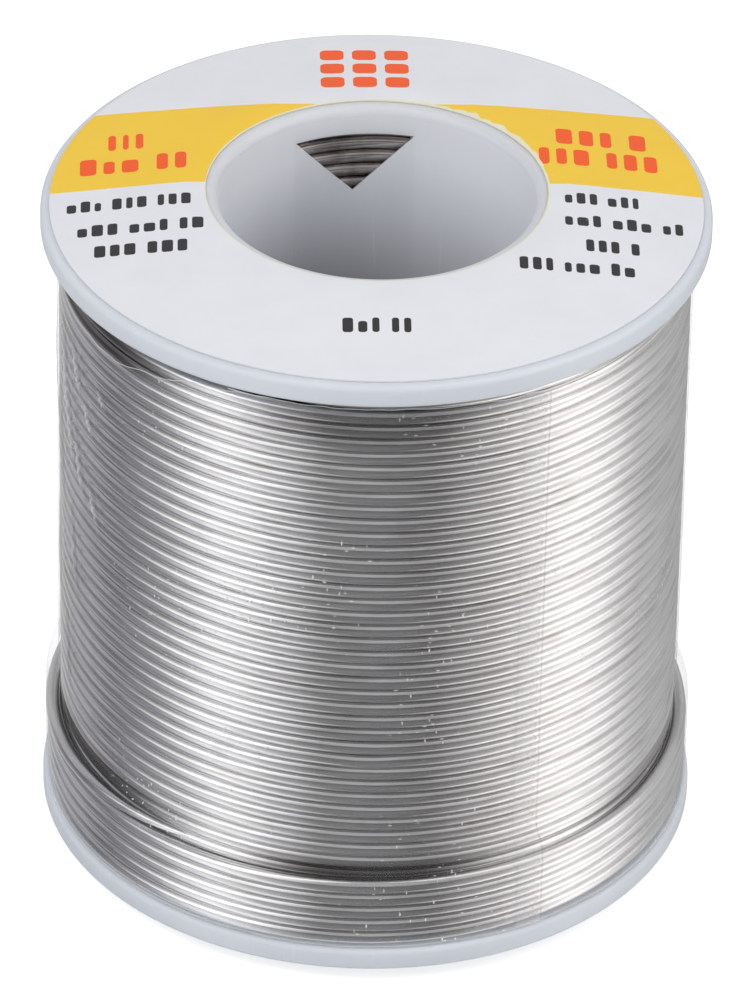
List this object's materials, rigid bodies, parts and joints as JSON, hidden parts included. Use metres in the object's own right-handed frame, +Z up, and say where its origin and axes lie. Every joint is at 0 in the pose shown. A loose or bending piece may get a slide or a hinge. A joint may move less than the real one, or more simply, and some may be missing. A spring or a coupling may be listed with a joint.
{
  "type": "solder wire spool",
  "caption": "Flanged plastic spool wound full of flux-cored solder wire, wrapped in clear film, with a plain label on its upper flange.",
  "frame": {"origin": "centre of the lower end of the hub tube, on the surface the spool stands on", "axes": "+Z up the spool's axis, towards the label; +Y towards the starter window, 9 degrees off it"},
  "size_m": [0.055, 0.055, 0.0604],
  "materials": {
    "spool_plastic": "satin milky white",
    "label_paper": "coated paper, low sheen",
    "solder_inner": "dull tin-lead",
    "solder": "bright drawn tin-lead",
    "film": "clear gloss film"
  },
  "bodies": {
    "root": {"hub_tube": "spool_plastic", "top_flange": "spool_plastic", "bottom_flange": "spool_plastic", "top_label": "label_paper", "inner_layers": "solder_inner", "outer_layer": "solder", "film_wrap": "film"}
  },
  "joints": []
}
